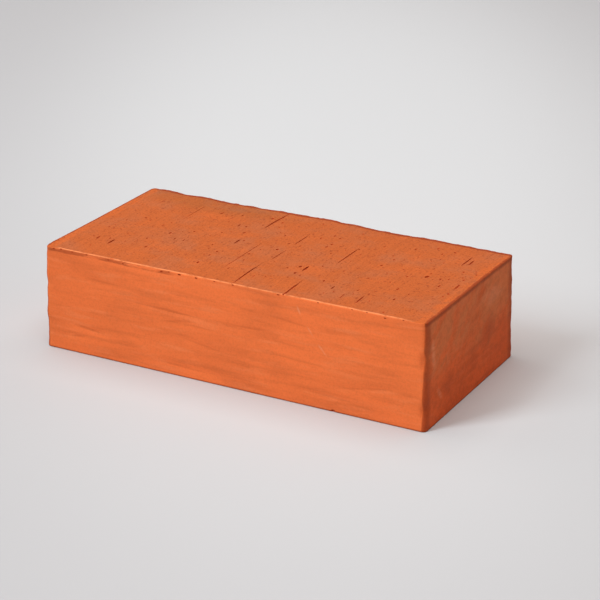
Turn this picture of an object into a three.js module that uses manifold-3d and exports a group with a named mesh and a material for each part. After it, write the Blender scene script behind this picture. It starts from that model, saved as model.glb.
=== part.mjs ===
// A solid building brick of fired red clay, in the 250 x 120 x 65 mm standard format.
//
// Clay is pushed through a rectangular die as a column whose section is the bed face, and taut wires cut
// the column into bricks. The four upright faces therefore keep the die's smooth skin and its rounded
// corners, and the two bed faces are wire-cut. Each wire goes in at the front, drags grit across the soft
// clay in straight furrows, and tears the arris where it comes out at the back.
//
// Frame: millimetres, +X along the length, +Y from the front stretcher to the back one, +Z up, with the
// origin at the middle of the lower bed face.

import * as THREE from "three";
import { mergeVertices } from "three/addons/utils/BufferGeometryUtils.js";
import Module from "manifold-3d";

const LENGTH = 250;
const WIDTH = 120;
const HEIGHT = 65;
const DIE_CORNER_RADIUS = 3;
const DIE_CORNER_SEGMENTS = 6;

// Each furrow runs across the width at one place along the length, from where its grain bit in to where
// it let go. One that starts or ends past a stretcher is open at that arris.
const TOP_FURROWS = [
  { x: -103, from: 33, to: 51, wide: 0.8, deep: 0.4 },
  { x: -92, from: -41, to: -33, wide: 1.6, deep: 1.0 },
  { x: -75, from: 11, to: 48, wide: 0.7, deep: 0.4 },
  { x: -27, from: -5, to: 3, wide: 1.4, deep: 0.9 },
  { x: -24, from: 26, to: 64, wide: 1.6, deep: 1.2 },
  { x: -13, from: -45, to: 6, wide: 0.8, deep: 0.6 },
  { x: 3, from: -64, to: -27, wide: 1.3, deep: 1.0 },
  { x: 5, from: 10, to: 29, wide: 0.9, deep: 0.7 },
  { x: 29, from: -24, to: -16, wide: 2.0, deep: 1.1 },
  { x: 36, from: -66, to: -39, wide: 1.7, deep: 1.2 },
  { x: 41, from: -5, to: 24, wide: 1.0, deep: 0.8 },
  { x: 66, from: -52, to: -43, wide: 1.0, deep: 0.6 },
  { x: 78, from: -54, to: -41, wide: 1.5, deep: 0.9 },
  { x: 105, from: 27, to: 43, wide: 1.1, deep: 0.9 },
  { x: 108, from: 30, to: 39, wide: 1.3, deep: 1.0 },
  { x: 116, from: -8, to: 2, wide: 1.9, deep: 1.1 },
];
const BOTTOM_FURROWS = [
  { x: -108, from: -22, to: 6, wide: 1.1, deep: 0.7 },
  { x: -84, from: 18, to: 30, wide: 1.6, deep: 0.9 },
  { x: -57, from: -64, to: -36, wide: 1.4, deep: 1.0 },
  { x: -39, from: 8, to: 52, wide: 0.9, deep: 0.6 },
  { x: -12, from: -30, to: -19, wide: 1.8, deep: 1.1 },
  { x: 17, from: 34, to: 64, wide: 1.5, deep: 1.1 },
  { x: 48, from: -50, to: -8, wide: 1.0, deep: 0.7 },
  { x: 71, from: 12, to: 23, wide: 1.7, deep: 1.0 },
  { x: 99, from: -38, to: -17, wide: 1.2, deep: 0.8 },
];

// Flakes of clay that the wire pulled off the back arris. They come evenly along the length, and seeded
// random numbers move and stretch each one.
const FLAKES_PER_ARRIS = 14;
const FLAKE_LENGTH = { least: 7, most: 24 };
const FLAKE_DEPTH = { least: 0.5, most: 1.4 };
const FLAKE_SHIFT = 6;
const FLAKE_REACH_PER_DEPTH = 1.8;
const FLAKE_ROUNDNESS = 1;
const TOP_FLAKE_SEED = 21;
const BOTTOM_FLAKE_SEED = 57;

const MERGE_DISTANCE = 1e-4;

const firedClay = new THREE.MeshStandardMaterial({
  name: "fired_red_clay",
  color: "#cd693c",
  roughness: 0.88,
  metalness: 0,
});

const manifold = await Module();
manifold.setup();

// The section of the clay column: a rectangle whose corners the die rounds.
function bedOutline() {
  const x = LENGTH / 2 - DIE_CORNER_RADIUS;
  const y = WIDTH / 2 - DIE_CORNER_RADIUS;
  const quarter = Math.PI / 2;
  const outline = new THREE.Shape();
  outline.absarc(x, -y, DIE_CORNER_RADIUS, -quarter, 0);
  outline.absarc(x, y, DIE_CORNER_RADIUS, 0, quarter);
  outline.absarc(-x, y, DIE_CORNER_RADIUS, quarter, 2 * quarter);
  outline.absarc(-x, -y, DIE_CORNER_RADIUS, 2 * quarter, 3 * quarter);
  outline.closePath();
  return outline;
}

// One brick's length of the column, with flat bed faces.
function extrudedBlank() {
  return new THREE.ExtrudeGeometry(bedOutline(), {
    depth: HEIGHT,
    bevelEnabled: false,
    curveSegments: DIE_CORNER_SEGMENTS,
  });
}

// The space that a dragged grain ploughs: pointed at both ends and V-shaped across, half of it above
// the bed face.
function furrowSpace(furrow, bedHeight) {
  const space = new THREE.OctahedronGeometry(1);
  space.scale(furrow.wide / 2, (furrow.to - furrow.from) / 2, furrow.deep);
  space.translate(furrow.x, (furrow.from + furrow.to) / 2, bedHeight);
  return space;
}

// The spaces that the torn-off flakes leave along the back arris of one bed face.
function flakeSpaces(bedHeight, seed) {
  THREE.MathUtils.seededRandom(seed);
  const between = (range) => THREE.MathUtils.lerp(
    range.least,
    range.most,
    THREE.MathUtils.seededRandom(),
  );
  const pitch = LENGTH / FLAKES_PER_ARRIS;
  const spaces = [];
  for (let i = 0; i < FLAKES_PER_ARRIS; i += 1) {
    const middle = -LENGTH / 2 + pitch * (i + 0.5);
    const x = middle + between({ least: -FLAKE_SHIFT, most: FLAKE_SHIFT });
    const depth = between(FLAKE_DEPTH);
    const space = new THREE.IcosahedronGeometry(1, FLAKE_ROUNDNESS);
    space.scale(between(FLAKE_LENGTH) / 2, depth * FLAKE_REACH_PER_DEPTH, depth);
    space.translate(x, WIDTH / 2, bedHeight);
    spaces.push(space);
  }
  return spaces;
}

function toSolid(geometry) {
  geometry.deleteAttribute("normal");
  geometry.deleteAttribute("uv");
  const merged = mergeVertices(geometry, MERGE_DISTANCE);
  const mesh = new manifold.Mesh({
    numProp: 3,
    vertProperties: merged.getAttribute("position").array,
    triVerts: merged.getIndex().array,
  });
  return new manifold.Manifold(mesh);
}

function toGeometry(solid) {
  const mesh = solid.getMesh();
  const geometry = new THREE.BufferGeometry();
  geometry.setAttribute("position", new THREE.BufferAttribute(mesh.vertProperties, 3));
  geometry.setIndex(new THREE.BufferAttribute(mesh.triVerts, 1));
  geometry.computeVertexNormals();
  return geometry;
}

function cutBlank(spaces) {
  const solid = spaces.reduce(
    (remaining, space) => remaining.subtract(toSolid(space)),
    toSolid(extrudedBlank()),
  );
  return toGeometry(solid);
}

const spacesLeftByTheWires = [
  ...TOP_FURROWS.map((furrow) => furrowSpace(furrow, HEIGHT)),
  ...BOTTOM_FURROWS.map((furrow) => furrowSpace(furrow, 0)),
  ...flakeSpaces(HEIGHT, TOP_FLAKE_SEED),
  ...flakeSpaces(0, BOTTOM_FLAKE_SEED),
];

const brickBody = new THREE.Mesh(cutBlank(spacesLeftByTheWires), firedClay);
brickBody.name = "brick_body";

const brick = new THREE.Group();
brick.name = "solid_clay_brick";
brick.add(brickBody);

export default brick;
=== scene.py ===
"""A solid building brick of fired red clay, made step by step as a brickworks makes it.

The clay column is cut to a blank, its sides take the die's smooth skin, the cutting wires drag across its
two bed faces and plough furrows with the grit that they catch, and the brick is fired. Run as a script, it
builds the brick on its CAD frame and lays it on a pale studio floor.
"""

import math
import random

import bpy
from mathutils import Matrix, Vector
from mathutils.geometry import intersect_point_line


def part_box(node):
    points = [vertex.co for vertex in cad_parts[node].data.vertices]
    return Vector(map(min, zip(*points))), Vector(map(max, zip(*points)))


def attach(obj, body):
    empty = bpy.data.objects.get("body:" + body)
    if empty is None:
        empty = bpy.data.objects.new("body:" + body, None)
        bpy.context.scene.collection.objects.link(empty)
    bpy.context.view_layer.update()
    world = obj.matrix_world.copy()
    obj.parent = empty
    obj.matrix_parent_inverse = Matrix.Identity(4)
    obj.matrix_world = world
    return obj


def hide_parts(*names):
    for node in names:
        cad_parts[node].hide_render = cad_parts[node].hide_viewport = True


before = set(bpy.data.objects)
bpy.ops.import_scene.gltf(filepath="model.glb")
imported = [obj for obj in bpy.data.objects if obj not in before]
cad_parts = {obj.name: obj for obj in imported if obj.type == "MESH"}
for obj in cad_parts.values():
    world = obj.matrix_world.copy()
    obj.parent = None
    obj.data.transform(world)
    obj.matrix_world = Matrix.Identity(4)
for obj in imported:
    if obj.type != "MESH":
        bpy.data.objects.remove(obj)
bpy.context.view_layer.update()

bl_info = {
    "name": "Wire-Cut Clay Brick",
    "version": (1, 0, 0),
    "blender": (4, 5, 0),
    "location": "3D View > Sidebar > Brick",
    "description": "Builds a solid wire-cut brick of fired red clay",
    "category": "Object",
}

CAD_NODE = "brick_body"
BODY = "root"

MM = 0.001
LOW, HIGH = (Vector(corner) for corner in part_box(CAD_NODE))
EXTENT = HIGH - LOW
MIDDLE = (LOW + HIGH) / 2
MOST_STEPS_AT_ONCE = 100  # the subdivide operator makes no more cuts than this
WIDE_PITCH = 1.6  # the mesh is this much coarser across the width, the way that streaks and furrows run
MARGINS = (1.1, 1.9, 2.8, 3.7)  # millimetres from an arris at which the mesh is cut, closer than further in

# Furrows that dragged grains ploughed, in whole millimetres: place along the length, where the grain bit
# in and where it let go across the width, and how wide and deep the furrow is in tenths. One that starts or
# ends past a stretcher is open at that arris.
TOP_FURROWS = (
    (-103, 33, 51, 5, 2),
    (-92, -41, -33, 13, 8),
    (-75, 11, 48, 4, 2),
    (-27, -5, 3, 11, 7),
    (-24, 26, 72, 13, 10),
    (-13, -45, 6, 5, 3),
    (3, -70, -27, 11, 9),
    (5, -17, -2, 6, 4),
    (5, 10, 29, 8, 6),
    (29, -24, -16, 16, 9),
    (36, -72, -39, 15, 11),
    (41, -5, 24, 8, 6),
    (56, -41, -36, 9, 6),
    (66, -52, -43, 8, 5),
    (77, -54, -41, 11, 7),
    (105, 27, 43, 9, 7),
    (108, 30, 39, 11, 8),
    (114, 25, 36, 6, 4),
    (116, -8, 2, 15, 9),
)
BOTTOM_FURROWS = (
    (-108, -22, 6, 9, 6),
    (-84, 18, 30, 13, 8),
    (-57, -63, -36, 12, 9),
    (-39, 8, 52, 8, 5),
    (-12, -30, -19, 15, 9),
    (17, 34, 63, 13, 9),
    (48, -50, -8, 8, 6),
    (71, 12, 23, 14, 8),
    (99, -38, -17, 10, 7),
)

# Pits that lost grains left, in whole millimetres: place along the length and across the width, and the
# pit's size in tenths.
TOP_PITS = (
    (95, 2, 24), (67, 17, 15), (24, 22, 16), (32, 47, 15), (0, -1, 17), (-28, 44, 18), (-69, -8, 16),
    (-11, -15, 12), (-29, -21, 14), (-30, -41, 16), (-96, 8, 12), (-103, -17, 12), (-100, -47, 14),
    (116, -15, 18), (93, 45, 16), (96, -56, 16), (38, -50, 13), (27, -29, 17), (25, -19, 18),
    (47, -32, 14), (67, -16, 12), (85, -3, 12), (113, 11, 13), (119, 16, 12), (-2, -58, 14), (42, 22, 12),
    (115, -20, 15), (115, 8, 15), (117, 13, 14), (118, 19, 16), (116, 23, 14), (110, 19, 13),
)

# Nibbles that grit tore out of the two arrises in sight, in millimetres: place along the arris, depth
# below the bed, and size in tenths.
FRONT_NIBBLES = (
    (-94, 1.2, 8), (-79, 1.5, 8), (-69, 1.9, 7), (-43, 1.8, 10), (-38, 1.2, 7), (-31, 1.5, 11),
    (-20, 1.5, 10), (-8, 1.2, 7), (4, 1.0, 9), (33, 1.2, 9), (58, 1.0, 7), (79, 0.9, 7), (88, 0.8, 8),
    (99, 1.9, 8), (110, 1.0, 7), (-112, 0.9, 11), (-117, 1.4, 9), (-104, 1.3, 8),
)
HEADER_NIBBLES = (
    (-58, 1.2, 24), (-50, 1.0, 14), (-36, 1.6, 16), (-27, 0.9, 18), (-14, 1.2, 12), (6, 1.0, 13),
)

# The nick in the front foot: its place along the length in millimetres, and its size in tenths.
FOOT_NICK = (68, 16)

# Flakes that the wires tore off the upper back arris, in millimetres: middle along the length, length,
# and depth in tenths. Seeded ones come between them.
TOP_FLAKES = ((-115, 12, 6), (-43, 17, 12), (43, 21, 13), (78, 14, 7), (-84, 15, 6), (104, 13, 6))

# Stretches of the upper back arris that the wire pulled down or up, in millimetres: middle along the
# length and reach to either side.
BACK_SAGS = ((-98, 14), (-64, 30), (46, 26))
BACK_SWELLS = ((2, 20),)

# Folds pressed into the front skin, in millimetres: from and to along the length and up the height, and
# about how deep in hundredths.
FRONT_FOLDS = (
    (-113, 19, -77, 15, 30), (-82, 41, -4, 39, 26), (-4, 39, 35, 41, 20), (58, 13, 118, 24, 24),
    (-112, 10, -93, 12, 20), (-48, 32, -17, 37, 20), (-40, 26, 5, 20, 22), (20, 51, 62, 47, 16),
    (-60, 8, 2, 5, 20), (38, 10, 92, 8, 22), (-105, 50, -66, 48, 18),
)
DEEPEST_FOLD = max(fold[-1] for fold in FRONT_FOLDS)

# Where the front right upright arris was rubbed flatter, in millimetres: height and reach up and down.
RUBBED_STRETCHES = ((42, 7), (12, 8))

# Seeds of the random flakes and small pits, and how many small pits each bed face gets at most.
TOP_FLAKE_SEED = 21
BOTTOM_FLAKE_SEED = 57
TOP_PIT_SEED = 11
BOTTOM_PIT_SEED = 12
TOP_SMALL_PITS = 330
BOTTOM_SMALL_PITS = 260

# Patches of the finish, in millimetres: middle and half sizes, and for those of the sides the turn in
# degrees and the strength.
WARM_PATCHES = (
    ((-33, -42, 65), (16, 9, 6)),
    ((-10, -34, 65), (22, 11, 6)),
    ((30, -22, 65), (20, 18, 6)),
    ((-60, 30, 65), (26, 12, 6)),
)
PALE_SMUDGES = (
    ((46, -60, 57), (1.3, 3, 6.5), (0, -24, 0), 0.35),
    ((53, -60, 46), (1.2, 3, 7.5), (0, -36, 0), 0.28),
    ((61, -60, 36), (1.4, 3, 7.5), (0, -42, 0), 0.35),
    ((124, -50, 43), (4, 5, 17), (6, 0, 0), 0.4),
    ((124, -42, 17), (4, 4, 12), (38, 0, 0), 0.3),
    ((124, 30, 50), (4, 28, 12), (-6, 0, 0), 0.2),
)
DARK_SMUDGES = (
    ((124, 4, 20), (4, 10, 18), (30, 0, 0), 0.15),
    ((124, 24, 30), (4, 22, 16), (30, 0, 0), 0.35),
    ((124, -30, 18), (4, 16, 13), (35, 0, 0), 0.35),
)


# ---------------------------------------------------------------------------------------------------------
# Sizes and colours that a user would change
# ---------------------------------------------------------------------------------------------------------

def srgb(hex_colour):
    """An sRGB hex colour such as "#c8643c" as linear red, green, blue and an alpha of 1."""
    channels = [int(hex_colour[i:i + 2], 16) / 255 for i in (1, 3, 5)]
    linear = [c / 12.92 if c <= 0.04045 else ((c + 0.055) / 1.055) ** 2.4 for c in channels]
    return (*linear, 1.0)


def length_property(name, description, millimetres):
    return bpy.props.FloatProperty(
        name=name, description=description, default=millimetres * MM, unit="LENGTH", precision=5)


def colour_property(name, description, hex_colour):
    return bpy.props.FloatVectorProperty(
        name=name, description=description, default=srgb(hex_colour), size=4, min=0, max=1,
        subtype="COLOR")


class BrickSizes(bpy.types.PropertyGroup):
    """Sizes of the brick's shape. Its length, width and height come from the CAD frame."""

    die_corner: length_property("Die corner", "Radius that the die gives the four upright arrises", 3.0)
    bed_arris: length_property("Bed arris", "Radius left on the arrises round the two bed faces", 0.6)
    skin_pitch: length_property("Skin pitch", "Spacing of the mesh along the length and the height", 1.33)
    fold_height: length_property("Fold height", "Height of the long folds on the die-formed sides", 0.4)
    lean: length_property("Lean", "How far the headers lean in at their tops, as the soft clay settled", 1.6)
    droop: length_property("Droop", "How far the upper bed falls towards its arrises", 0.7)
    foot_spread: length_property("Foot spread", "How far the foot of the back stretcher bulged out", 1.8)


class BrickColours(bpy.types.PropertyGroup):
    """Colours of the fired clay."""

    die_skin: colour_property("Die skin", "Smooth skin of the four sides", "#ea7239")
    slip: colour_property("Slip", "Paler slip that the die smeared along the sides", "#e67b47")
    smoked: colour_property("Smoked clay", "Greyer smears on the right header", "#d87e4e")
    # Also the colour of painted shade at arrises, folds, pores and the foot, and of a painted contact shadow.
    burnt_clay_and_shade: colour_property("Burnt clay", "Darker clay at arrises and smears", "#903a18")
    pale: colour_property("Pale scuffs", "Dry scuffs and smudges on the sides", "#e29a72")
    wire_cut: colour_property("Wire-cut bed", "Dragged clay of the two bed faces", "#bc5c29")
    scum: colour_property("Scum", "Greyish bloom that salts leave on the bed faces", "#b2623b")
    rubbed: colour_property("Rubbed clay", "Brighter clay where the bed was rubbed", "#ca6129")
    # Partly paler clay and partly a painted highlight along that ridge.
    crisp_clay_and_highlight: colour_property("Crisp arris", "Pale ridge where the wires went in", "#e88a56")
    torn: colour_property("Torn clay", "Raw clay inside furrows and pits", "#b4441a")


class StudioSettings(bpy.types.PropertyGroup):
    """Floor and lights of the studio."""

    # The floor colour is the paper in the middle of a painted pool of light; the next colour is the same
    # paper painted darker beyond the pool.
    floor: colour_property("Floor", "Pale matt floor", "#c7c8c9")
    paper_beyond_light_pool: colour_property("Backdrop", "The same paper further off, where it curls up", "#b0afb0")
    light_power: bpy.props.FloatProperty(
        name="Light power", description="Power of all the softboxes together", default=338.0, unit="POWER")
    sky_strength: bpy.props.FloatProperty(
        name="Sky strength", description="Strength of the even light from all round", default=0.13)


# ---------------------------------------------------------------------------------------------------------
# Modelling helpers
# ---------------------------------------------------------------------------------------------------------

def deselect_everything():
    if bpy.context.object and bpy.context.object.mode != "OBJECT":
        bpy.ops.object.mode_set(mode="OBJECT")
    bpy.ops.object.select_all(action="DESELECT")


def make_active(piece):
    deselect_everything()
    piece.select_set(True)
    bpy.context.view_layer.objects.active = piece


def pick_edges(piece, wanted):
    """Leaves the piece in edit mode with just the edges selected whose two ends wanted() accepts."""
    make_active(piece)
    bpy.ops.object.mode_set(mode="EDIT")
    bpy.ops.mesh.select_mode(type="EDGE")
    bpy.ops.mesh.select_all(action="DESELECT")
    bpy.ops.object.mode_set(mode="OBJECT")
    places = [vertex.co for vertex in piece.data.vertices]
    for edge in piece.data.edges:
        edge.select = wanted(*(places[i] for i in edge.vertices))
    bpy.ops.object.mode_set(mode="EDIT")


def split_at(piece, axis, place):
    """Cuts the whole surface along the plane at one place on one axis, leaving it closed."""
    make_active(piece)
    bpy.ops.object.mode_set(mode="EDIT")
    bpy.ops.mesh.select_all(action="SELECT")
    normal = Vector((0, 0, 0))
    normal[axis] = 1
    point = Vector((0, 0, 0))
    point[axis] = place
    bpy.ops.mesh.bisect(plane_co=point, plane_no=normal)
    bpy.ops.object.mode_set(mode="OBJECT")


def subdivide_along(piece, axis, pitch):
    """Divides the piece's longest straight strips along one axis into steps of about the pitch."""
    longest = max(
        abs(piece.data.vertices[a].co[axis] - piece.data.vertices[b].co[axis])
        for a, b in (edge.vertices for edge in piece.data.edges))
    steps = math.ceil(longest / pitch)
    rounds = math.ceil(steps / MOST_STEPS_AT_ONCE)
    for cuts in (rounds - 1, math.ceil(steps / rounds) - 1):
        if cuts:
            pick_edges(piece, lambda a, b: abs(a[axis] - b[axis]) > 0.9 * longest)
            bpy.ops.mesh.subdivide(number_cuts=cuts)
            bpy.ops.object.mode_set(mode="OBJECT")
        longest /= cuts + 1


def weigh(piece, share, levels=50):
    """Makes a vertex group whose weights come from share(place), rounded to so many levels."""
    group = piece.vertex_groups.new(name=share.__name__)
    members = {}
    for vertex in piece.data.vertices:
        level = round(levels * min(1.0, max(0.0, share(vertex.co))))
        members.setdefault(level, []).append(vertex.index)
    for level, indices in members.items():
        if level:
            group.add(indices, level / levels, "REPLACE")
    return group.name


def ramp(value, start, end):
    """Rises smoothly from 0 to 1 as the value goes from start to end."""
    share = min(1.0, max(0.0, (value - start) / (end - start)))
    return share * share * (3 - 2 * share)


def apply_modifier(piece, modifier):
    make_active(piece)
    bpy.ops.object.modifier_apply(modifier=modifier.name)


def press(piece, share, height, direction="NORMAL", pattern=None, grain=(1, 1, 1), shift=(0, 0, 0), level=0):
    """Moves the surface by up to the height where share(place) is 1.

    A pattern spreads the move out in lumps that measure grain along each axis.
    """
    modifier = piece.modifiers.new("press", "DISPLACE")
    modifier.vertex_group = weigh(piece, share)
    modifier.direction = direction
    modifier.strength = height
    modifier.mid_level = level
    if pattern:
        bpy.ops.object.empty_add(location=shift)
        lump_frame = bpy.context.object
        lump_frame.scale = grain
        bpy.context.view_layer.update()
        modifier.texture = pattern
        modifier.texture_coords = "OBJECT"
        modifier.texture_coords_object = lump_frame
    apply_modifier(piece, modifier)
    if pattern:
        bpy.data.objects.remove(lump_frame)


def cloud_pattern(name, depth=2):
    pattern = bpy.data.textures.new(name, "CLOUDS")
    pattern.noise_scale = 1
    pattern.noise_depth = depth
    return pattern


# ---------------------------------------------------------------------------------------------------------
# The brick
# ---------------------------------------------------------------------------------------------------------

def add_blank(sizes):
    """One brick's length of the clay column, with the die's round upright arrises, finely meshed."""
    deselect_everything()
    bpy.ops.mesh.primitive_cube_add(size=1, location=MIDDLE, scale=EXTENT)
    blank = bpy.context.object
    bpy.ops.object.transform_apply(location=True, rotation=True, scale=True)

    pick_edges(blank, lambda a, b: abs(a.z - b.z) > EXTENT.z / 2)
    bpy.ops.mesh.bevel(offset=sizes.die_corner, segments=6, affect="EDGES")
    pick_edges(blank, lambda a, b: abs(a.z - b.z) < EXTENT.z / 2)
    bpy.ops.mesh.bevel(offset=sizes.bed_arris, segments=2, affect="EDGES")
    bpy.ops.object.mode_set(mode="OBJECT")

    for axis in (0, 1, 2):
        for margin in MARGINS:
            split_at(blank, axis, LOW[axis] + margin * MM)
            split_at(blank, axis, HIGH[axis] - margin * MM)
    for axis, pitch in ((0, sizes.skin_pitch), (1, WIDE_PITCH * sizes.skin_pitch), (2, sizes.skin_pitch)):
        subdivide_along(blank, axis, pitch)
    return blank


def inset_from_bed(place):
    """How far a place is from the nearer of the two bed faces."""
    return min(HIGH.z - place.z, place.z - LOW.z)


def inset_from_sides(place):
    """How far a place is from the nearest of the four sides."""
    along = EXTENT.x / 2 - abs(place.x - MIDDLE.x)
    across = EXTENT.y / 2 - abs(place.y - MIDDLE.y)
    return min(along, across)


def sides(place):
    """1 on the four die-formed sides, falling to 0 at the two bed arrises."""
    return ramp(inset_from_bed(place), 0.5 * MM, 5 * MM)


def beds(place):
    """1 on the two bed faces, falling to 0 at their arrises."""
    if inset_from_bed(place) > 0.1 * MM:
        return 0
    return ramp(inset_from_sides(place), 0.6 * MM, 3 * MM)


def uprights(place):
    """1 on the four rounded upright arrises, falling to 0 past their rounding and at the beds."""
    along = EXTENT.x / 2 - abs(place.x - MIDDLE.x)
    across = EXTENT.y / 2 - abs(place.y - MIDDLE.y)
    return ramp(max(along, across), 6 * MM, 2 * MM) * ramp(inset_from_bed(place), 0.3 * MM, 3 * MM)


def wire_exit(place):
    """1 at the back arrises, where the wires came out, falling to 0 a few millimetres away."""
    return ramp(inset_from_bed(place) + HIGH.y - place.y, 5 * MM, 0.5 * MM)


def wire_entry(place):
    """1 along the front edge of the upper bed, where the wire went in."""
    if HIGH.z - place.z > 0.5 * MM or place.y > MIDDLE.y:
        return 0
    return ramp(abs(place.y - LOW.y - 0.9 * MM), 1.1 * MM, 0.3 * MM)


def upper_edges(place):
    """1 round the edge of the upper bed, falling to 0 towards its middle and towards the foot."""
    return ramp(inset_from_sides(place), 24 * MM, 0) * ramp(place.z, LOW.z, HIGH.z)


def back_right_corner(place):
    """1 at the upper back right corner, falling to 0 some way off."""
    return ramp((place - HIGH).length, 34 * MM, 0)


def along_back_edge(stretches):
    """Makes the share function that is 1 at the middle of each stretch of the upper back arris."""
    def back_stretches(place):
        near_edge = ramp(HIGH.y - place.y, 16 * MM, 0) * ramp(HIGH.z - place.z, 16 * MM, 0)
        if not near_edge:
            return 0
        return near_edge * max(ramp(abs(place.x / MM - middle), reach, 0) for middle, reach in stretches)
    return back_stretches


def left_end(place):
    """1 at the upper left arris from the middle to the back, falling to 0 further in."""
    near_end = ramp(place.x, LOW.x + 26 * MM, LOW.x)
    return near_end * ramp(place.y, LOW.y, MIDDLE.y) * ramp(place.z, LOW.z, HIGH.z)


def back_foot(place):
    """1 at the foot of the back stretcher, falling to 0 at the front and towards the top."""
    return ramp(place.y, LOW.y, HIGH.y) * ramp(place.z, HIGH.z + 30 * MM, LOW.z)


def front_left_corner(place):
    """1 at the upper front left corner, falling to 0 some way off."""
    return ramp((place - Vector((LOW.x, LOW.y, HIGH.z))).length, 16 * MM, 5 * MM)


def rubbed_arris(place):
    """1 on the stretches of the front right upright arris that were rubbed flat."""
    corner_gap = max(HIGH.x - place.x, place.y - LOW.y)
    if corner_gap > 6 * MM:
        return 0
    height = (place.z - LOW.z) / MM
    rubbed = max(ramp(abs(height - middle), reach, 0) for middle, reach in RUBBED_STRETCHES)
    return rubbed * ramp(corner_gap, 5 * MM, 1.5 * MM)


def front_folds(place):
    """How deep the nearest fold in the front skin is, as a share of the deepest one."""
    if place.y > LOW.y + 1.5 * MM:
        return 0
    spot = Vector((place.x, place.z)) / MM
    share = 0
    for start_x, start_z, end_x, end_z, deep in FRONT_FOLDS:
        start, end = Vector((start_x, start_z)), Vector((end_x, end_z))
        nearest, along = intersect_point_line(spot, start, end)
        along = min(1.0, max(0.0, along))
        gap = (spot - start.lerp(end, along)).length
        taper = ramp(min(along, 1 - along), 0, 0.3)
        share = max(share, taper * ramp(gap, 3.2, 0.4) * deep / DEEPEST_FOLD)
    return share


def press_die_skin(brick, sizes):
    """Folds, bulges and wavy upright arrises that the die and the handling of soft clay leave."""
    soft = cloud_pattern("soft_bulges", 1)
    folded = cloud_pattern("long_folds", 3)
    press(brick, sides, 0.5 * MM, "NORMAL", soft, (70 * MM, 70 * MM, 45 * MM), level=0.5)
    press(brick, sides, sizes.fold_height, "NORMAL", folded, (60 * MM, 60 * MM, 9 * MM), level=0.5)
    press(brick, uprights, 1.2 * MM, "NORMAL", soft, (40 * MM, 40 * MM, 8 * MM), (0.3, 0, 0), level=0.6)
    press(brick, front_folds, -0.32 * MM)
    press(brick, rubbed_arris, -1.6 * MM)


def drag_wires(brick):
    """Streaks and ripples that the wires leave on the beds, the arrises they pass, and a crumbled corner."""
    streaks = cloud_pattern("wire_streaks", 2)
    crumbs = cloud_pattern("torn_crumbs", 4)
    press(brick, beds, 0.22 * MM, "Z", streaks, (3.5 * MM, 70 * MM, 30 * MM), level=0.5)
    press(brick, beds, 0.4 * MM, "Z", streaks, (60 * MM, 40 * MM, 30 * MM), (0.1, 0.2, 0), level=0.5)
    press(brick, wire_exit, 2.0 * MM, "Y", crumbs, (11 * MM, 7 * MM, 7 * MM), level=0.62)
    press(brick, wire_exit, 1.3 * MM, "Z", crumbs, (8 * MM, 5 * MM, 5 * MM), (0.2, 0.1, 0), level=0.5)
    press(brick, wire_entry, 0.45 * MM, "Z", crumbs, (12 * MM, 6 * MM, 6 * MM), level=0)
    press(brick, front_left_corner, 1.4 * MM, "NORMAL", crumbs, (3.5 * MM, 3.5 * MM, 3.5 * MM), level=0.6)


def settle(brick, sizes):
    """Lets the soft clay settle.

    The headers lean in, the upper bed droops towards its arrises and wavers at the back, and the foot of
    the back stretcher bulges.
    """
    lean = brick.modifiers.new("lean", "SIMPLE_DEFORM")
    lean.deform_method = "TAPER"
    lean.deform_axis = "Z"
    lean.lock_y = True
    lean.factor = -sizes.lean / (EXTENT.x / 2)
    apply_modifier(brick, lean)
    press(brick, upper_edges, -sizes.droop, "Z")
    press(brick, back_right_corner, -0.4 * MM, "Z")
    press(brick, left_end, -0.35 * MM, "Z")
    press(brick, along_back_edge(BACK_SAGS), -0.7 * MM, "Z")
    press(brick, along_back_edge(BACK_SWELLS), 0.7 * MM, "Z")
    press(brick, back_foot, sizes.foot_spread, "Y")


def model_grain(name, rings, roughness):
    """A knobbly closed lump one unit across and long, the shape of the space that a grain leaves."""
    deselect_everything()
    bpy.ops.mesh.primitive_uv_sphere_add(segments=10, ring_count=rings, radius=0.5)
    grain = bpy.context.object
    grain.name = name
    bpy.ops.object.mode_set(mode="EDIT")
    bpy.ops.mesh.select_all(action="SELECT")
    bpy.ops.transform.rotate(value=math.pi / 2, orient_axis="X", center_override=(0, 0, 0))
    bpy.ops.object.mode_set(mode="OBJECT")
    knobs = cloud_pattern(name + "_knobs", 2)
    # A long space is stretched along its length later, so it starts with shorter knobs.
    knob_length = 0.12 if rings > 10 else 0.45
    press(grain, everywhere, roughness, "NORMAL", knobs, (0.45, knob_length, 0.45), level=0.5)
    return grain


def everywhere(place):
    return 1


def set_grain(model, middle, across, along, deep, turn=0.0):
    """A copy of the model with its own mesh, stretched and turned about the upright and put in place."""
    copy = model.copy()
    copy.data = model.data.copy()
    bpy.context.collection.objects.link(copy)
    stretch = Matrix.Diagonal((across, along, 2 * deep, 1))
    copy.data.transform(Matrix.Translation(middle) @ Matrix.Rotation(turn, 4, "Z") @ stretch)
    return copy


def clear_of(spots, x, y, gap):
    """Whether the place keeps the gap to every spot so far, each given by x, low y, high y and half width."""
    return all(
        abs(x - spot_x) > gap + half or y < low - gap or y > high + gap
        for spot_x, low, high, half in spots)


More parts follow.
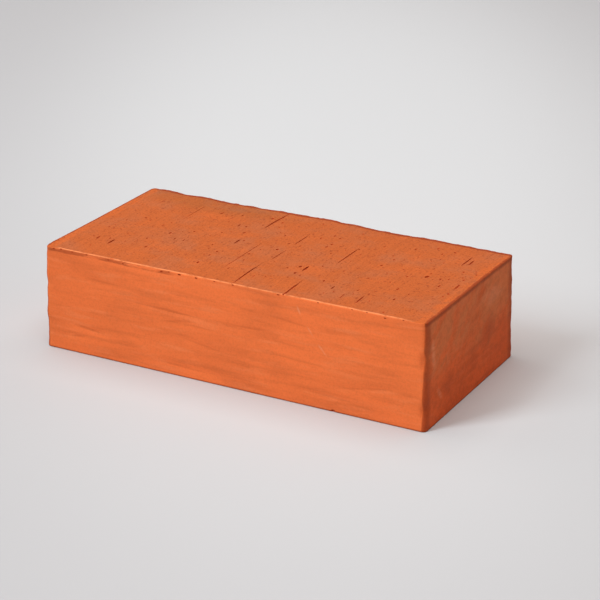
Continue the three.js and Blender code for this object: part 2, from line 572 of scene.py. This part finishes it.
def grit_spaces(furrows, pits, bed_height, chance, small_pits, models):
    """Every furrow and pit of one bed face, as solids half above the face and half below it.

    Small pits that would touch a furrow or another pit are left out.
    """
    furrow_model, pit_model = models
    spaces = []
    spots = []
    for x, start, end, wide, deep in furrows:
        middle = Vector((x * MM, (start + end) / 2 * MM, bed_height))
        spaces.append(set_grain(
            furrow_model, middle, wide / 10 * MM, (end - start) * MM, deep / 10 * MM,
            chance.uniform(-0.012, 0.012)))
        spots.append((x, start, end, wide / 20))
    for x, y, size in pits:
        middle = Vector((x * MM, y * MM, bed_height))
        across = size / 10 * MM
        spaces.append(set_grain(
            pit_model, middle, across, across * chance.uniform(1.1, 1.7), 0.5 * across,
            chance.uniform(-0.3, 0.3)))
        spots.append((x, y - size / 10, y + size / 10, size / 20))
    half_length = EXTENT.x / 2 / MM - 3
    half_width = EXTENT.y / 2 / MM - 3
    for _ in range(small_pits):
        x = half_length * (1 - 2 * chance.random() ** 1.35)
        y = chance.uniform(-half_width, half_width)
        across = 0.5 + 0.9 * chance.random() ** 2.5
        along = across * (1 + 3 * chance.random() ** 2)
        turn = chance.uniform(-0.2, 0.2)
        if not clear_of(spots, x, y, 1.2 * along):
            continue
        middle = Vector((x * MM, y * MM, bed_height))
        spaces.append(set_grain(pit_model, middle, across * MM, along * MM, 0.45 * across * MM, turn))
        spots.append((x, y - along / 2, y + along / 2, across / 2))
    return spaces


def arris_spaces(model):
    """Nibbles along the front and right arrises of the upper bed, and the nick in the front foot."""
    spaces = []
    for x, below, size in FRONT_NIBBLES:
        across = size / 10 * MM
        middle = Vector((x * MM, LOW.y, HIGH.z - below * MM))
        spaces.append(set_grain(model, middle, 2.0 * across, 0.8 * across, 0.45 * across))
    for y, below, size in HEADER_NIBBLES:
        across = size / 10 * MM
        middle = Vector((HIGH.x - 0.8 * MM, y * MM, HIGH.z - below * MM))
        spaces.append(set_grain(model, middle, across, 1.4 * across, 0.5 * across))
    nick_x, nick_size = FOOT_NICK
    middle = Vector((nick_x * MM, LOW.y, LOW.z + 0.6 * MM))
    spaces.append(set_grain(model, middle, 0.2 * nick_size * MM, 0.1 * nick_size * MM, 0.06 * nick_size * MM))
    return spaces


def flake_spaces(model, set_flakes, bed_height, chance):
    """Spaces of the flakes torn off one back arris: the listed ones, and seeded ones between them."""
    spaces = []
    flakes = list(set_flakes)
    x = LOW.x / MM + 4
    while x < HIGH.x / MM - 6:
        length = chance.uniform(4, 11)
        if all(abs(x + length / 2 - middle) > (length + other) / 2 for middle, other, _ in flakes):
            flakes.append((x + length / 2, length, chance.uniform(3, 7)))
        x += length + chance.uniform(0.5, 5)
    for x, length, deep in flakes:
        middle = Vector((x * MM, HIGH.y, bed_height))
        spaces.append(set_grain(model, middle, length * MM, 0.45 * deep * MM, 0.1 * deep * MM))
    return spaces


def cut_away(brick, spaces):
    """Cuts a list of solids out of the brick, leaving the walls of the cuts in the solids' material."""
    deselect_everything()
    for space in spaces:
        space.select_set(True)
    bpy.context.view_layer.objects.active = spaces[0]
    bpy.ops.object.join()
    modifier = brick.modifiers.new("cut", "BOOLEAN")
    modifier.operation = "DIFFERENCE"
    modifier.solver = "MANIFOLD"
    modifier.object = spaces[0]
    apply_modifier(brick, modifier)
    bpy.data.objects.remove(spaces[0])


def tear_clay(brick, torn_clay):
    """Tears flakes, nibbles, furrows and pits out of the brick."""
    furrow = model_grain("furrow_space", 40, 0.35)
    pit = model_grain("pit_space", 8, 0.3)
    flake = model_grain("flake_space", 14, 0.45)
    for model in (furrow, pit, flake):
        model.data.materials.append(torn_clay)
    flakes = flake_spaces(flake, TOP_FLAKES, HIGH.z, random.Random(TOP_FLAKE_SEED))
    flakes += flake_spaces(flake, (), LOW.z, random.Random(BOTTOM_FLAKE_SEED))
    cut_away(brick, flakes + arris_spaces(pit))
    models = (furrow, pit)
    grit = grit_spaces(
        TOP_FURROWS, TOP_PITS, HIGH.z, random.Random(TOP_PIT_SEED), TOP_SMALL_PITS, models)
    grit += grit_spaces(
        BOTTOM_FURROWS, (), LOW.z, random.Random(BOTTOM_PIT_SEED), BOTTOM_SMALL_PITS, models)
    cut_away(brick, grit)
    for model in (furrow, pit, flake):
        bpy.data.objects.remove(model)


# ---------------------------------------------------------------------------------------------------------
# Materials
# ---------------------------------------------------------------------------------------------------------

FACTOR, FIRST, SECOND, MIXED = 0, 6, 7, 2  # the colour sockets of a Mix node
OBJECT_PLACE = 3  # the output of a Texture Coordinate node


def add_node(tree, kind, inputs=None, output=0, **settings):
    """Adds a node with its settings, sets or links each input, and returns one of its outputs."""
    node = tree.nodes.new(kind)
    for name, value in settings.items():
        setattr(node, name, value)
    for key, value in (inputs or {}).items():
        if isinstance(value, bpy.types.NodeSocket):
            tree.links.new(value, node.inputs[key])
        else:
            node.inputs[key].default_value = value
    return node.outputs[output] if node.outputs else node


def new_material(name):
    material = bpy.data.materials.new(name)
    material.use_nodes = True
    material.node_tree.nodes.clear()
    return material


def grey(value):
    return (value, value, value, 1.0)


def lumps(tree, millimetres, detail=2.0, roughness=0.5, turn=(0, 0, 0), shift=(0, 0, 0)):
    """A cloudy pattern from 0 to 1 whose lumps measure so many millimetres along each axis.

    The turn, in degrees, is made before the lumps are stretched. The shift, in lumps, picks another stretch
    of the pattern.
    """
    place = add_node(tree, "ShaderNodeTexCoord", output=OBJECT_PLACE)
    turn = tuple(math.radians(angle) for angle in turn)
    turned = add_node(tree, "ShaderNodeMapping", {"Vector": place, "Rotation": turn})
    scale = tuple(1 / (size * MM) for size in millimetres)
    fitted = add_node(tree, "ShaderNodeMapping", {"Vector": turned, "Scale": scale, "Location": shift})
    return add_node(tree, "ShaderNodeTexNoise", {
        "Vector": fitted, "Scale": 1.0, "Detail": detail, "Roughness": roughness, "Distortion": 0.3})


def smudge(tree, middle, half_sizes, turn=(0, 0, 0), core=0.0):
    """A soft-edged spot with its middle and half sizes in millimetres and its turn in degrees: 1 inside."""
    place = add_node(tree, "ShaderNodeTexCoord", output=OBJECT_PLACE)
    spot = add_node(tree, "ShaderNodeMapping", {
        "Vector": place,
        "Location": tuple(value * MM for value in middle),
        "Rotation": tuple(math.radians(angle) for angle in turn),
        "Scale": tuple(value * MM for value in half_sizes)}, vector_type="TEXTURE")
    away = add_node(tree, "ShaderNodeVectorMath", {0: spot}, 1, operation="LENGTH")
    return add_node(tree, "ShaderNodeMapRange", {
        "Value": away, "From Min": 1.0, "From Max": core}, interpolation_type="SMOOTHSTEP")


def band(tree, axis, start, end):
    """Rises from 0 to 1 between two distances in millimetres, along X or Y both ways and along Z upwards."""
    place = add_node(tree, "ShaderNodeTexCoord", output=OBJECT_PLACE)
    distance = add_node(tree, "ShaderNodeSeparateXYZ", {0: place}, output=axis)
    if axis != 2:
        distance = add_node(tree, "ShaderNodeMath", {0: distance}, operation="ABSOLUTE")
    return add_node(tree, "ShaderNodeMapRange", {
        "Value": distance, "From Min": start * MM, "From Max": end * MM}, interpolation_type="SMOOTHSTEP")


def overlap(tree, *masks):
    """1 where all the masks are 1."""
    both = masks[0]
    for mask in masks[1:]:
        both = add_node(tree, "ShaderNodeMath", {0: both, 1: mask}, operation="MULTIPLY")
    return both


def stain(tree, colour, mask, stain_colour, strength=1.0, start=0.0, end=1.0, mode="MIX"):
    """Lays a stain over the colour, in full strength where the mask reaches the end value."""
    factor = add_node(tree, "ShaderNodeMapRange", {
        "Value": mask, "From Min": start, "From Max": end, "To Max": strength},
        interpolation_type="SMOOTHSTEP")
    return add_node(tree, "ShaderNodeMix", {FACTOR: factor, FIRST: colour, SECOND: stain_colour}, MIXED,
                    data_type="RGBA", blend_type=mode)


def bare_clay(material, colour, dullness, relief, depth):
    """Joins colour, roughness and relief in the shader of matt unglazed ceramic, which hardly shines."""
    tree = material.node_tree
    bump = add_node(tree, "ShaderNodeBump", {"Strength": 1.0, "Distance": depth, "Height": relief})
    shader = add_node(tree, "ShaderNodeBsdfPrincipled", {
        "Base Color": colour, "Roughness": dullness, "IOR": 1.5, "Specular IOR Level": 0.2, "Normal": bump})
    add_node(tree, "ShaderNodeOutputMaterial", {"Surface": shader})
    return material


def grained(tree, colour, millimetres, darkest):
    """The pattern of sand grains and pores of one size, and the colour that they darken here and there."""
    grain = lumps(tree, (millimetres, millimetres, millimetres), 3, 0.6)
    return grain, stain(tree, colour, grain, grey(darkest), 1.0, 0.4, 0.72, "MULTIPLY")


def wire_cut_clay(colours):
    """Fired red clay cut by a wire: open and matt, streaked the way the wire went, with a faint bloom.

    Streaks 1.5 mm apart and single drag lines run across the width. Salts leave duller patches, and
    handling rubs some patches and the margins at the headers brighter. The ridge where the wire went in is
    paler clay with a painted highlight on it, the arrises at the headers carry a painted shade line, and the
    back arris is darker. Dark spots of painted shade stand for fine pores. The grain is drawn at about 1 mm,
    coarser than real sand, so that it shows.
    """
    material = new_material("wire_cut_fired_clay")
    tree = material.node_tree
    bloom = lumps(tree, (34, 26, 30), 4, 0.62)
    colour = stain(tree, tuple(colours.wire_cut), bloom, tuple(colours.scum), 0.7, 0.4, 0.68)
    warmth = lumps(tree, (24, 18, 30), 3, 0.6, shift=(7.3, 2.1, 0))
    colour = stain(tree, colour, warmth, tuple(colours.rubbed), 0.45, 0.5, 0.72)
    for middle, half_sizes in WARM_PATCHES:
        patch = overlap(tree, smudge(tree, middle, half_sizes, core=0.2), warmth)
        colour = stain(tree, colour, patch, tuple(colours.rubbed), 0.7, 0.2, 0.6)
    dull_margin = smudge(tree, (-70, 52, 65), (90, 26, 12), core=0.2)
    colour = stain(tree, colour, dull_margin, (0.88, 0.98, 1, 1), mode="MULTIPLY")
    header_margin = overlap(tree, band(tree, 0, 112, 119), lumps(tree, (8, 16, 9), 3, 0.6))
    colour = stain(tree, colour, header_margin, tuple(colours.rubbed), 0.8, 0.3, 0.6)

    streaks = lumps(tree, (1.5, 45, 10), 3, 0.6)
    colour = stain(tree, colour, streaks, grey(0.93), 1.0, 0.35, 0.7, "MULTIPLY")
    drag_lines = lumps(tree, (0.9, 34, 10), 2, 0.5, shift=(3.7, 0, 0))
    colour = stain(tree, colour, drag_lines, grey(0.84), 1.0, 0.64, 0.74, "MULTIPLY")
    # Painted shade: dark spots stand for fine pores that are not cut into the mesh.
    pores = lumps(tree, (1.4, 2.2, 1.4), 2, 0.6, shift=(0, 5.1, 0))
    colour = stain(tree, colour, pores, tuple(colours.burnt_clay_and_shade), 0.6, 0.58, 0.68)
    grain, colour = grained(tree, colour, 1.2, 0.8)

    # The pale ridge where the wire went in is partly paler clay and partly a painted highlight.
    entry_ridge = overlap(tree, band(tree, 1, 58.4, 59.0), smudge(tree, (0, -60, 65), (124, 4, 9), core=0.9))
    ragged = lumps(tree, (5, 7, 5), 3, 0.6)
    colour = stain(tree, colour, overlap(tree, entry_ridge, ragged), tuple(colours.crisp_clay_and_highlight), 0.8, 0.2, 0.6)
    # Painted shade: a dark line along the bed's arrises at both headers.
    ends = overlap(tree, band(tree, 0, 120.8, 122.6), ragged)
    colour = stain(tree, colour, ends, tuple(colours.burnt_clay_and_shade), 0.85, 0.2, 0.45)
    back_arris = smudge(tree, (0, 60, 65), (150, 12, 20), core=0.7)
    exit_edge = overlap(tree, band(tree, 1, 55, 58), back_arris, ragged)
    colour = stain(tree, colour, exit_edge, tuple(colours.burnt_clay_and_shade), 0.9, 0.15, 0.45)

    coarse = add_node(tree, "ShaderNodeMath", {0: streaks, 1: 0.7, 2: grain}, operation="MULTIPLY_ADD")
    dullness = add_node(tree, "ShaderNodeMapRange", {"Value": bloom, "To Min": 0.86, "To Max": 0.96})
    return bare_clay(material, colour, dullness, coarse, 0.22 * MM)


def die_smoothed_clay(colours):
    """Fired red clay that slid along a wet die: closed, smooth, with long faint smears of slip.

    The right header was rubbed in the kiln: it carries greyer diagonal smears and is redder at the foot.
    The whole right header is also painted darker and redder as shade, and so is the left end of the front.
    Painted shade runs along the folds of the front, on both headers next to the upright arrises and just
    under the upper bed, and a painted contact shadow runs round the foot. The front has a few pale scuffs.
    """
    material = new_material("die_smoothed_fired_clay")
    tree = material.node_tree
    cloudy = lumps(tree, (60, 60, 34), 3, 0.55, shift=(1.4, 0, 0))
    colour = stain(tree, tuple(colours.die_skin), cloudy, grey(0.88), 1.0, 0.4, 0.7, "MULTIPLY")
    smears = lumps(tree, (48, 48, 5), 4, 0.6)
    colour = stain(tree, colour, smears, grey(0.86), 1.0, 0.45, 0.72, "MULTIPLY")
    # Painted shade: the left end of the front is darkened.
    shaded_left_end = smudge(tree, (-130, -60, 30), (85, 20, 80))
    colour = stain(tree, colour, shaded_left_end, (0.91, 0.89, 0.865, 1), mode="MULTIPLY")
    slip = lumps(tree, (30, 30, 4), 3, 0.6, shift=(0, 0, 6.2))
    colour = stain(tree, colour, slip, tuple(colours.slip), 0.5, 0.5, 0.72)
    # Painted shade along each fold pressed into the front.
    for start_x, start_z, end_x, end_z, deep in FRONT_FOLDS:
        length = math.dist((start_x, start_z), (end_x, end_z))
        slope = math.degrees(math.atan2(end_z - start_z, end_x - start_x))
        middle = ((start_x + end_x) / 2, -60, (start_z + end_z) / 2)
        fold_shade = overlap(tree, smudge(tree, middle, (0.55 * length, 3, 1.7), (0, -slope, 0)), smears)
        colour = stain(tree, colour, fold_shade, tuple(colours.burnt_clay_and_shade), deep / 100, 0.15, 0.5)

    # The headers take in part of the rounding at the upright arrises.
    header = band(tree, 0, 121.8, 123.3)
    header_smears = lumps(tree, (12, 22, 8), 4, 0.62, turn=(-38, 0, 0))
    right_header = overlap(tree, header, smudge(tree, (124, 0, 32), (20, 120, 90), core=0.6))
    smoke = overlap(tree, right_header, header_smears, band(tree, 2, -10, 50))
    colour = stain(tree, colour, smoke, tuple(colours.smoked), 0.9, 0.25, 0.6)
    mottle = overlap(tree, header, lumps(tree, (4, 5, 4), 3, 0.7))
    colour = stain(tree, colour, mottle, grey(0.87), 1.0, 0.4, 0.65, "MULTIPLY")
    redder = add_node(tree, "ShaderNodeMath", {0: 1.0, 1: band(tree, 2, 0, 60)}, operation="SUBTRACT")
    # Painted shade: the whole right header is darkened and made redder.
    colour = stain(tree, colour, right_header, (0.91, 0.79, 0.65, 1), mode="MULTIPLY")
    colour = stain(tree, colour, overlap(tree, right_header, redder), (0.94, 0.84, 0.8, 1), mode="MULTIPLY")
    for middle, half_sizes, turn, strength in PALE_SMUDGES:
        broken = overlap(tree, smudge(tree, middle, half_sizes, turn), slip)
        colour = stain(tree, colour, broken, tuple(colours.pale), strength, 0.1, 0.6)
    for middle, half_sizes, turn, strength in DARK_SMUDGES:
        broken = overlap(tree, smudge(tree, middle, half_sizes, turn), header_smears)
        colour = stain(tree, colour, broken, tuple(colours.burnt_clay_and_shade), strength, 0.1, 0.55)

    ragged = lumps(tree, (9, 9, 14), 3, 0.6)
    # Painted shade on both headers next to the upright arrises, where the rounding turns away from the light.
    turned = overlap(tree, header, band(tree, 1, 50, 59), ragged)
    colour = stain(tree, colour, turned, tuple(colours.burnt_clay_and_shade), 0.6, 0.02, 0.42)
    # Painted shadow on the headers just under the upper bed's arris.
    shadow_under_bed = overlap(tree, header, band(tree, 2, 60.5, 64), ragged)
    colour = stain(tree, colour, shadow_under_bed, tuple(colours.burnt_clay_and_shade), 0.75, 0.03, 0.42)
    blotches = lumps(tree, (12, 9, 1.8), 3, 0.6)
    left_half = smudge(tree, (-80, -60, 62), (70, 5, 9), core=0.5)
    under_entry = overlap(tree, left_half, band(tree, 2, 60.5, 62.6), blotches)
    colour = stain(tree, colour, under_entry, tuple(colours.burnt_clay_and_shade), 0.55, 0.34, 0.58)
    # Painted contact shadow: the lowest millimetre or so all round is darkened.
    foot = add_node(tree, "ShaderNodeMath", {0: 1.0, 1: band(tree, 2, 0.4, 1.3)}, operation="SUBTRACT")
    colour = stain(tree, colour, foot, tuple(colours.burnt_clay_and_shade), 0.7)
    grain, colour = grained(tree, colour, 1.1, 0.91)

    folds = add_node(tree, "ShaderNodeMath", {0: grain, 1: 0.35, 2: smears}, operation="MULTIPLY_ADD")
    relief = add_node(tree, "ShaderNodeMath", {
        0: overlap(tree, header, header_smears), 1: 0.5, 2: folds}, operation="MULTIPLY_ADD")
    dullness = add_node(tree, "ShaderNodeMapRange", {"Value": slip, "To Min": 0.86, "To Max": 0.7})
    return bare_clay(material, colour, dullness, relief, 0.25 * MM)


def torn_clay(colours):
    """Fired red clay pulled apart while soft: crumbly and unsmoothed, with crumbs of about 0.6 mm."""
    material = new_material("torn_fired_clay")
    tree = material.node_tree
    crumbs = lumps(tree, (0.6, 0.6, 0.6), 4, 0.7)
    colour = stain(tree, tuple(colours.torn), crumbs, grey(0.72), 1.0, 0.3, 0.7, "MULTIPLY")
    return bare_clay(material, colour, 0.95, crumbs, 0.3 * MM)


def matt_paper(studio):
    """Matt studio paper: smooth to the eye, curling up away from the table, with a painted pool of light that
    fades greyer away from the table.
    """
    material = new_material("matt_paper")
    tree = material.node_tree
    # The paper's colour carries a painted pool of light that fades to darker paint beyond it.
    pool = smudge(tree, PAINTED_LIGHT_POOL, PAINTED_LIGHT_POOL_HALF, (0, 0, CAMERA_AZIMUTH))
    colour = stain(tree, tuple(studio.paper_beyond_light_pool), pool, tuple(studio.floor))
    shader = add_node(tree, "ShaderNodeBsdfPrincipled", {
        "Base Color": colour, "Roughness": 0.9, "Specular IOR Level": 0.1})
    add_node(tree, "ShaderNodeOutputMaterial", {"Surface": shader})
    return material


# ---------------------------------------------------------------------------------------------------------
# Operators
# ---------------------------------------------------------------------------------------------------------

DIE_SMOOTHED, WIRE_CUT, TORN = 0, 1, 2  # the order of the brick's materials
BED_UPRIGHTNESS = 0.75  # a face belongs to a bed if its normal rises or falls by more than this


class BRICK_OT_brick(bpy.types.Operator):
    """Builds the fired brick on its CAD frame"""

    bl_idname = "brick.brick"
    bl_label = "Make Brick"
    bl_options = {"REGISTER", "UNDO"}

    def execute(self, context):
        sizes = context.scene.brick_sizes
        colours = context.scene.brick_colours
        brick = add_blank(sizes)
        brick.name = "fired_clay_brick"
        press_die_skin(brick, sizes)
        drag_wires(brick)
        for material in (die_smoothed_clay(colours), wire_cut_clay(colours), torn_clay(colours)):
            brick.data.materials.append(material)
        for face in brick.data.polygons:
            on_bed = abs(face.normal.z) > BED_UPRIGHTNESS
            face.material_index = WIRE_CUT if on_bed else DIE_SMOOTHED
        settle(brick, sizes)
        tear_clay(brick, brick.data.materials[TORN])
        make_active(brick)
        bpy.ops.object.shade_smooth_by_angle(angle=math.radians(35))
        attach(brick, BODY)
        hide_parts(CAD_NODE)
        return {"FINISHED"}


def aim(thing, target):
    thing.rotation_euler = (Vector(target) - thing.location).to_track_quat("-Z", "Y").to_euler()


def from_angles(azimuth, elevation, distance):
    """A place seen from the origin: azimuth in degrees from the front towards +X, elevation above it."""
    turn, lift = math.radians(azimuth), math.radians(elevation)
    return distance * Vector((
        math.sin(turn) * math.cos(lift), -math.cos(turn) * math.cos(lift), math.sin(lift)))


def add_softbox(name, place, width, height, power, hex_colour):
    bpy.ops.object.light_add(type="AREA", location=place)
    softbox = bpy.context.object
    softbox.name = name
    softbox.data.shape = "RECTANGLE"
    softbox.data.size = width
    softbox.data.size_y = height
    softbox.data.energy = power
    softbox.data.color = srgb(hex_colour)[:3]
    aim(softbox, MIDDLE)


# The key is daylight, the room's own light is a little warmer, and a warm reflector board fills the right
# side.
DAYLIGHT = "#eaf8ff"
ROOM_LIGHT = "#fff9f6"
BOARD_LIGHT = "#ffd7bf"

# Each softbox: azimuth from the front towards +X, elevation, width and height in metres, share of the
# power, and colour.
SOFTBOX_DISTANCE = 4.0
SOFTBOXES = (
    ("key_softbox", -34, 39, 1.1, 2.3, 0.36, DAYLIGHT),
    ("top_softbox", 0, 90, 4.4, 4.4, 0.44, ROOM_LIGHT),
    ("left_softbox", -92, 34, 2.8, 2.5, 0.09, ROOM_LIGHT),
    ("right_board", 50, 30, 2.4, 1.9, 0.08, BOARD_LIGHT),
    ("back_softbox", 180, 40, 3.2, 1.9, 0.03, ROOM_LIGHT),
)

CAMERA_TARGET = Vector((10.5, 7.8, 32)) * MM
CAMERA_AZIMUTH = 28.19
CAMERA_ELEVATION = 22.2
CAMERA_DISTANCE = 1.233
CAMERA_ROLL = 0.3
CAMERA_LENS = 125.1  # millimetres, for a sensor 36 mm wide

# The painted pool of light, where the paper is palest, in millimetres: middle and half sizes of an oval
# with its long way pointing away from the camera.
PAINTED_LIGHT_POOL = (-139, 370, 0)
PAINTED_LIGHT_POOL_HALF = (435, 1250, 400)

# The cove that the paper makes, in metres.
COVE_RADIUS = 6.0
COVE_HEIGHT = 4.0
COVE_BEND = 2.0


def add_cove():
    """A round floor whose edge curls up into a wall, so that no horizon shows from any side."""
    deselect_everything()
    bpy.ops.mesh.primitive_cylinder_add(
        vertices=96, radius=COVE_RADIUS, depth=COVE_HEIGHT, location=(0, 0, LOW.z + COVE_HEIGHT / 2))
    cove = bpy.context.object
    cove.name = "studio_floor"
    bpy.ops.object.transform_apply(location=True, rotation=True, scale=True)
    pick_edges(cove, lambda a, b: max(a.z, b.z) < LOW.z + COVE_HEIGHT / 2)
    bpy.ops.mesh.bevel(offset=COVE_BEND, segments=16, affect="EDGES")
    bpy.ops.object.mode_set(mode="OBJECT")
    pick_edges(cove, lambda a, b: min(a.z, b.z) > LOW.z + 0.99 * COVE_HEIGHT)
    bpy.ops.mesh.delete(type="ONLY_FACE")
    bpy.ops.mesh.select_all(action="SELECT")
    bpy.ops.mesh.flip_normals()
    bpy.ops.object.mode_set(mode="OBJECT")
    bpy.ops.object.shade_smooth()
    return cove


class BRICK_OT_stage(bpy.types.Operator):
    """Lays a pale floor under the brick and sets the lights and the camera"""

    bl_idname = "brick.stage"
    bl_label = "Set Stage"
    bl_options = {"REGISTER", "UNDO"}

    def execute(self, context):
        studio = context.scene.brick_studio
        cove = add_cove()
        cove.data.materials.append(matt_paper(studio))

        for name, azimuth, elevation, width, height, share, hex_colour in SOFTBOXES:
            add_softbox(name, from_angles(azimuth, elevation, SOFTBOX_DISTANCE), width, height,
                        share * studio.light_power, hex_colour)

        world = bpy.data.worlds.new("studio")
        world.use_nodes = True
        background = world.node_tree.nodes["Background"]
        background.inputs["Color"].default_value = srgb(ROOM_LIGHT)
        background.inputs["Strength"].default_value = studio.sky_strength
        context.scene.world = world
        context.scene.view_settings.view_transform = "Standard"

        bpy.ops.object.camera_add(
            location=CAMERA_TARGET + from_angles(CAMERA_AZIMUTH, CAMERA_ELEVATION, CAMERA_DISTANCE))
        camera = context.object
        camera.data.sensor_width = 36
        camera.data.lens = CAMERA_LENS
        aim(camera, CAMERA_TARGET)
        camera.rotation_euler = (
            camera.rotation_euler.to_matrix() @ Matrix.Rotation(math.radians(CAMERA_ROLL), 3, "Z")).to_euler()
        context.scene.camera = camera
        return {"FINISHED"}


class BRICK_PT_panel(bpy.types.Panel):
    """Lists the steps, sizes and colours of the brick"""

    bl_label = "Brick"
    bl_idname = "BRICK_PT_panel"
    bl_space_type = "VIEW_3D"
    bl_region_type = "UI"
    bl_category = "Brick"

    def draw(self, context):
        layout = self.layout
        for group in ("brick_sizes", "brick_colours", "brick_studio"):
            settings = getattr(context.scene, group)
            for name in settings.bl_rna.properties.keys():
                if name not in ("rna_type", "name"):
                    layout.prop(settings, name)
        layout.operator(BRICK_OT_brick.bl_idname)
        layout.operator(BRICK_OT_stage.bl_idname)


CLASSES = (BrickSizes, BrickColours, StudioSettings, BRICK_OT_brick, BRICK_OT_stage, BRICK_PT_panel)


def register():
    for cls in CLASSES:
        bpy.utils.register_class(cls)
    bpy.types.Scene.brick_sizes = bpy.props.PointerProperty(type=BrickSizes)
    bpy.types.Scene.brick_colours = bpy.props.PointerProperty(type=BrickColours)
    bpy.types.Scene.brick_studio = bpy.props.PointerProperty(type=StudioSettings)


def unregister():
    del bpy.types.Scene.brick_studio
    del bpy.types.Scene.brick_colours
    del bpy.types.Scene.brick_sizes
    for cls in reversed(CLASSES):
        bpy.utils.unregister_class(cls)


def main():
    register()
    bpy.ops.brick.brick()
    bpy.ops.brick.stage()


if __name__ == "__main__":
    main()
